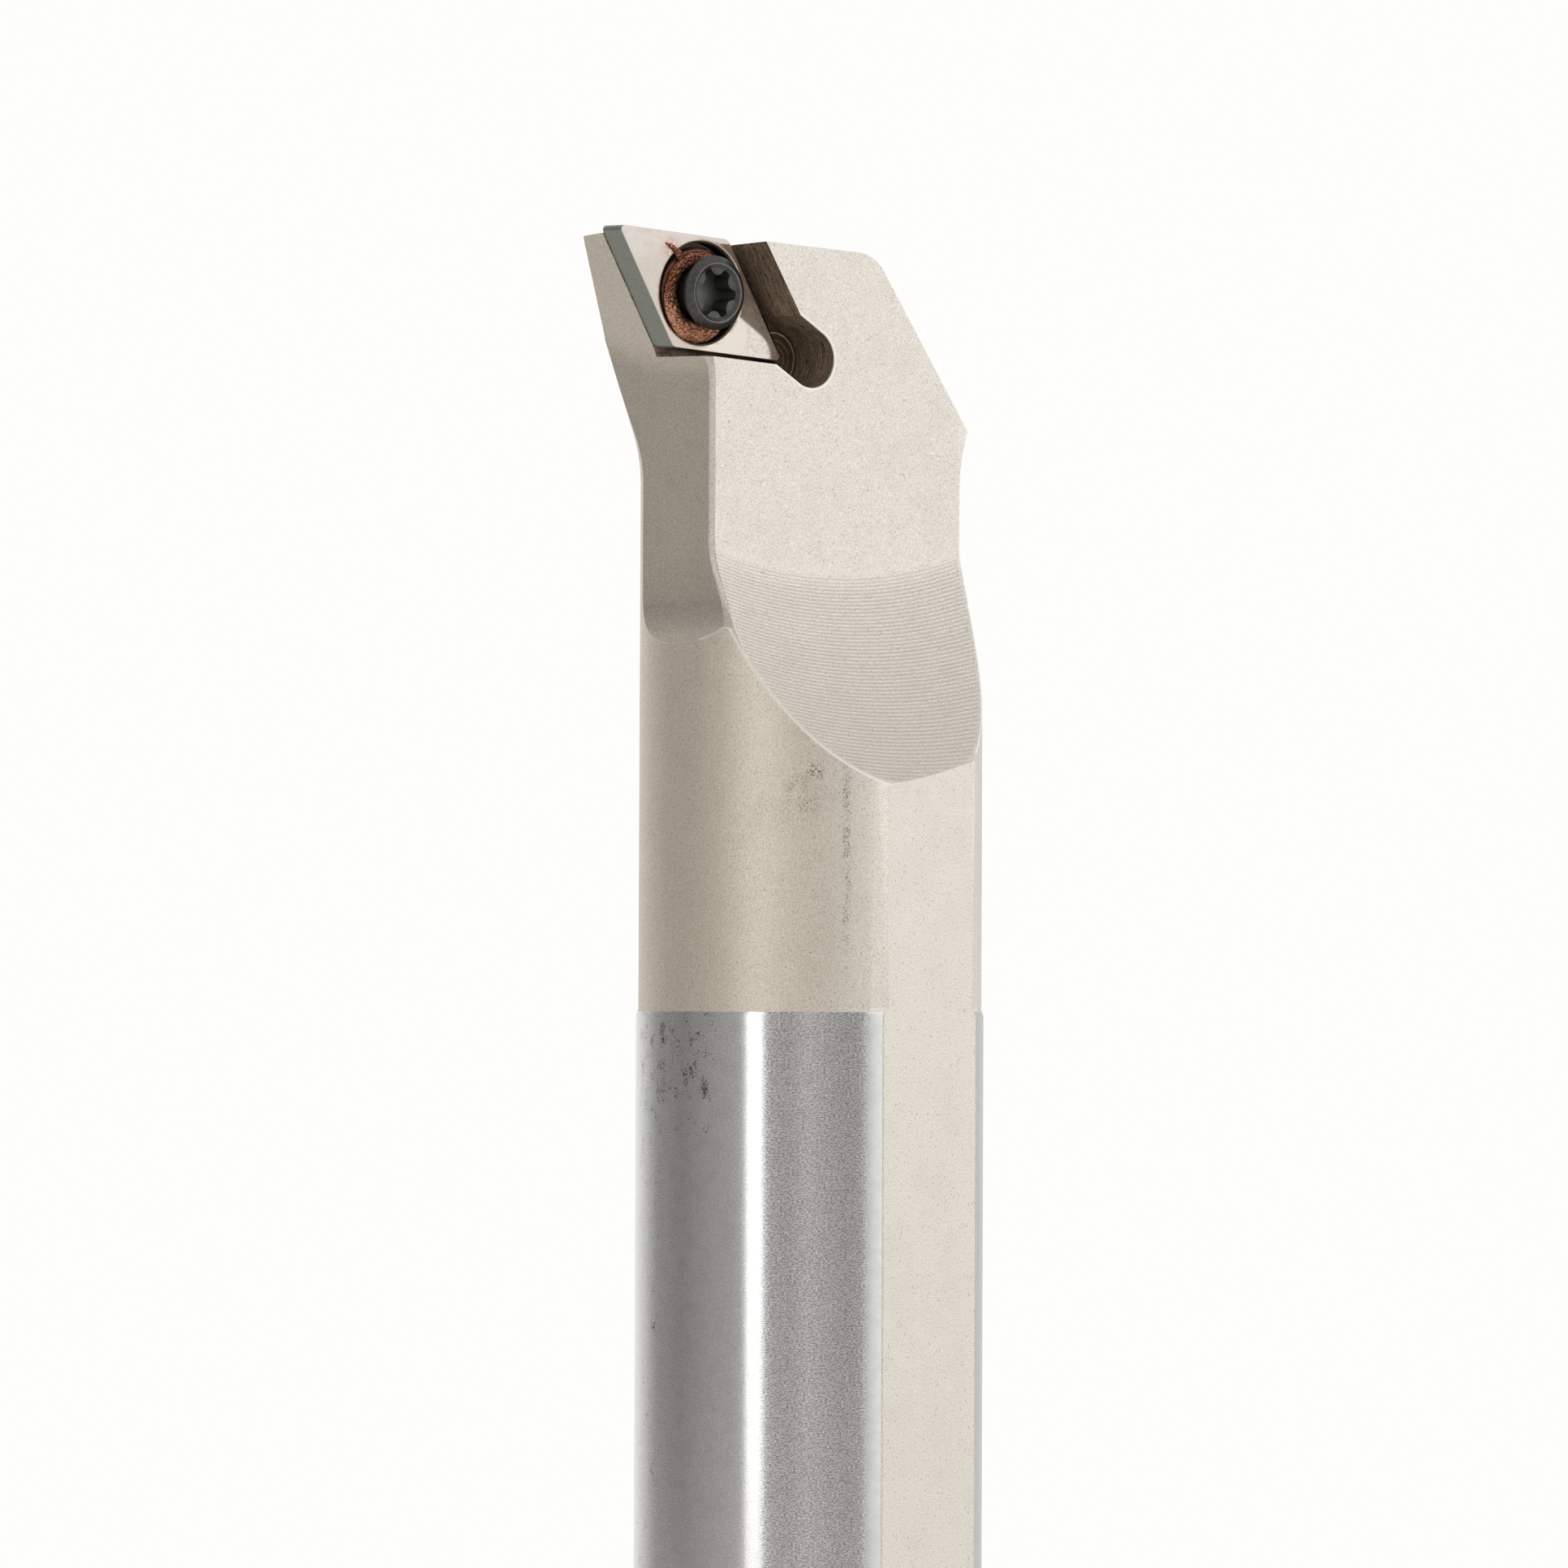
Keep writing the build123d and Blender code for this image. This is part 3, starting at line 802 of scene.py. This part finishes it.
def grease_strand():
    """A string of paste drawn out over the rim of the shim's hole."""
    rows = []
    for i in range(len(STRAND_ROUTE) - 1):
        here, there = Vector(STRAND_ROUTE[i]), Vector(STRAND_ROUTE[i + 1])
        sideways = Vector((there.y - here.y, here.x - there.x, 0)).normalized()
        for k in range(STRAND_STEPS):
            share = k / STRAND_STEPS
            centre = here.lerp(there, share)
            thick = STRAND_THICKNESS[i] * (1 - share) + STRAND_THICKNESS[i + 1] * share
            row = []
            for j in range(STRAND_STEPS_AROUND):
                a = 2 * pi * j / STRAND_STEPS_AROUND
                x, y = centre.x + cos(a) * thick, centre.y + sin(a) * thick
                rough = thick * (1 + lump(x, y, *STRAND_LUMPS))
                upward = Vector((0, 0, sin(a) * rough * STRAND_FLATNESS))
                row.append(seat_point(*(centre + sideways * cos(a) * rough + upward)))
            rows.append(row)
    return soft_skin("copper_strand", rows, closed=False)


bar = broken_edges("bar_body", BAR_EDGE, on_wide_rim, WIDE_EDGE, BAR_SHORTEST)
give(bar, bar_material(), "bar")
give(broken_edges("shim", SHIM_EDGE), shim_material(), "bar")
give(broken_edges("shim_screw", BUSH_EDGE), bush_material(), "bar")
give(broken_edges("insert_screw", SCREW_EDGE), screw_material(), "screw")
paste = grease_material()
give(grease_ring(), paste, "bar")
give(grease_strand(), paste, "bar")


# ---------------------------------------------------------------- studio
FLOOR_DARK = (0.84, 0.835, 0.825)
FLOOR_LIGHT = (0.87, 0.865, 0.855)
BACKDROP = (0.99, 0.985, 0.975)
OVERHEAD_SIZE = 1.2
OVERHEAD_HEIGHT = 1.2
OVERHEAD_ENERGY = 1.0

# The light tent round the bar: (azimuth, level) at the height of the bar, a bright strip between two
# azimuths, and one level overhead.
TENT_RADIUS = 1.4
TENT_LEVELS = [
    (-215, 0.95), (-200, 0.90), (-186, 0.72), (-168, 0.36), (-140, 0.26), (-112, 0.38), (-93, 0.44),
    (-76, 0.49), (-60, 0.45), (-48, 0.61), (-34, 0.49), (-22, 0.42), (-12.2, 0.42), (-6.6, 1.14), (5, 1.2),
    (22, 1.1), (70, 1.08), (96, 0.66), (120, 0.74),
]
STRIP = (-88.8, -76.9)
STRIP_LEVEL = 1.9
TENT_TOP = 0.65
TENT_TOP_ELEVATION = 45.0
TENT_WARMTH = (1.0, 0.972, 0.93)
WHITE = (1, 1, 1)


def compass(azimuth, distance, height=0.0):
    """A point that far from the bar's axis, where azimuth 0 is in front and -90 is on the cutting side."""
    a = radians(azimuth)
    return Vector((sin(a) * distance, -cos(a) * distance, height))


def tent_curve(t, start):
    """A curve from 0 to 1 round the tent that gives its level."""
    ramp = t.node("FloatCurve")
    curve = ramp.mapping.curves[0]
    for azimuth, level in TENT_LEVELS[1:]:
        point = curve.points.new((azimuth - start) / 360, level)
        point.handle_type = "VECTOR"
    curve.points[0].location = (0, TENT_LEVELS[0][1])
    curve.points[len(curve.points) - 1].location = (1, TENT_LEVELS[0][1])
    ramp.mapping.extend = "HORIZONTAL"
    ramp.mapping.use_clip = False
    ramp.mapping.update()
    return ramp


def tent_material():
    """A soft glow that changes with the direction it comes from, warmer where it is dim."""
    t = Tree("tent_glow")
    x, y, z = t.parts(t.position())
    start = TENT_LEVELS[0][0]
    turned = t.math("FLOORED_MODULO", t.minus(t.azimuth(x, y), start), 360.0)
    ramp = tent_curve(t, start)
    t.feed(ramp.inputs["Value"], t.math("DIVIDE", turned, 360.0))
    strip = t.within(turned, STRIP[0] - start, STRIP[1] - start, 0.8)
    level = t.pick(strip, ramp.outputs["Value"], STRIP_LEVEL)
    elevation = t.math("DEGREES", t.math("ARCTAN2", z, t.length(x, y)))
    level = t.pick(t.above(elevation, TENT_TOP_ELEVATION, 50.0), level, TENT_TOP)
    glow = t.node("Emission")
    t.feed(glow.inputs["Color"], t.blend(t.below(level, 0.7, 0.4), WHITE, TENT_WARMTH))
    t.feed(glow.inputs["Strength"], level)
    t.tree.links.new(glow.outputs[0], t.output.inputs[0])
    return t.owner


def tent():
    """A hemisphere that metal reflects and the camera looks through."""
    form = bmesh.new()
    bmesh.ops.create_uvsphere(form, u_segments=72, v_segments=36, radius=TENT_RADIUS)
    bmesh.ops.bisect_plane(
        form, geom=form.verts[:] + form.edges[:] + form.faces[:], plane_co=(0, 0, 0), plane_no=(0, 0, -1),
        clear_outer=True,
    )
    made = new_object("tent", to_mesh(form, "tent"))
    made.data.materials.append(tent_material())
    made.visible_camera = False
    made.visible_shadow = False


def floor():
    """A round pale floor inside the tent."""
    t = Tree("floor_finish")
    tone = t.noise(t.position(), 60.0)
    t.shader(Base_Color=t.blend(tone, FLOOR_DARK, FLOOR_LIGHT), Roughness=0.7)
    corners = [compass(azimuth, TENT_RADIUS - 0.02) for azimuth in range(0, 360, 10)]
    mesh = bpy.data.meshes.new("floor")
    mesh.from_pydata([tuple(c) for c in corners], [], [tuple(range(len(corners)))])
    made = new_object("floor", mesh)
    made.data.materials.append(t.owner)


def backdrop():
    """A plain pale world behind the bar."""
    world = Tree("studio", world=True)
    back = world.node("Background")
    world.feed(back.inputs["Color"], BACKDROP)
    back.inputs["Strength"].default_value = 1.0
    world.tree.links.new(back.outputs[0], world.output.inputs[0])
    bpy.context.scene.world = world.owner


def overhead_lamp():
    """A weak lamp over the bar that its metal doesn't reflect."""
    lamp = new_object("overhead", bpy.data.lights.new("overhead", "AREA"))
    lamp.data.shape = "DISK"
    lamp.data.size = OVERHEAD_SIZE
    lamp.data.energy = OVERHEAD_ENERGY
    lamp.location = (0, 0, OVERHEAD_HEIGHT)
    lamp.visible_glossy = False
    lamp.visible_camera = False


floor()
backdrop()
overhead_lamp()
tent()


# ---------------------------------------------------------------- camera
CAMERA_AZIMUTH = -48.15
CAMERA_DISTANCE = 0.63
CAMERA_HEIGHT = 0.144
AIM_LEFT = 0.00192  # the bar's axis stands this far right of the picture's middle
AIM_UP = radians(1.4743)
ROLL = radians(0.231)
LENS = 200.98
SENSOR = 36.0
NEAREST = 0.01
FARTHEST = 20.0

eye = compass(CAMERA_AZIMUTH, CAMERA_DISTANCE, CAMERA_HEIGHT)
camera_right = Vector((cos(radians(CAMERA_AZIMUTH)), sin(radians(CAMERA_AZIMUTH)), 0))
target = Vector((0, 0, CAMERA_HEIGHT + CAMERA_DISTANCE * tan(AIM_UP))) - camera_right * AIM_LEFT
camera = new_object("camera", bpy.data.cameras.new("camera"))
camera.location = eye
looking = (target - eye).to_track_quat("-Z", "Y")
camera.rotation_mode = "QUATERNION"
camera.rotation_quaternion = looking @ Quaternion((0, 0, 1), ROLL)
camera.data.lens = LENS
camera.data.sensor_width = SENSOR
camera.data.clip_start = NEAREST
camera.data.clip_end = FARTHEST
bpy.context.scene.camera = camera

bpy.context.scene.view_settings.view_transform = "Standard"
